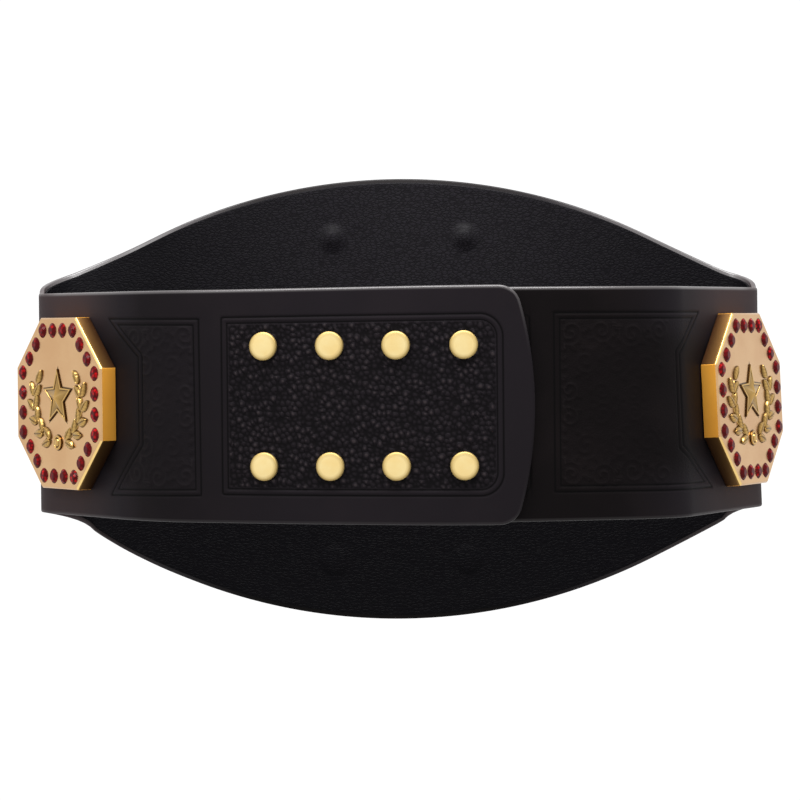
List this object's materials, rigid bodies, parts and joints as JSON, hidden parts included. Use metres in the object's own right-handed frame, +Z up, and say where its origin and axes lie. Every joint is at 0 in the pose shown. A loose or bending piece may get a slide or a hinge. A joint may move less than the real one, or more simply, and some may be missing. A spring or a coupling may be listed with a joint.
{
  "type": "championship title belt",
  "caption": "Wide black leather title belt snapped into a loop, with octagonal gilt side plates, red stones and a large gilt front plate.",
  "frame": {"origin": "middle of the loop at half its height, where the wearer's waist goes", "axes": "+Z up, +Y the way the wearer faces, towards the main plate, -Y the snapped closure at the wearer's back, +X the wearer's right"},
  "size_m": [0.4287, 0.2043, 0.2526],
  "materials": {
    "strap_leather": "smooth black saddle leather with a low satin sheen, tooled panels and burnished edges",
    "lining_leather": "thin black pebble-grained lining leather",
    "gilt": "polished rose-gilt cast metal with bright chamfers",
    "snap_metal": "pale satin gilt",
    "garnet": "dark red faceted stones"
  },
  "bodies": {
    "root": {"strap": "strap_leather", "lining": "lining_leather", "main_plate": "gilt", "side_plate_right": "gilt", "side_plate_left": "gilt", "main_screw_1": "snap_metal", "main_screw_2": "snap_metal", "main_screw_3": "snap_metal", "main_screw_4": "snap_metal", "side_screw_right_1": "snap_metal", "side_screw_right_2": "snap_metal", "side_screw_left_1": "snap_metal", "side_screw_left_2": "snap_metal", "snap_cap_1": "snap_metal", "snap_cap_2": "snap_metal", "snap_cap_3": "snap_metal", "snap_cap_4": "snap_metal", "snap_cap_5": "snap_metal", "snap_cap_6": "snap_metal", "snap_cap_7": "snap_metal", "snap_cap_8": "snap_metal", "snap_stud_1": "snap_metal", "snap_stud_2": "snap_metal", "snap_stud_3": "snap_metal", "snap_stud_4": "snap_metal", "snap_stud_5": "snap_metal", "snap_stud_6": "snap_metal", "snap_stud_7": "snap_metal", "snap_stud_8": "snap_metal"}
  },
  "joints": []
}
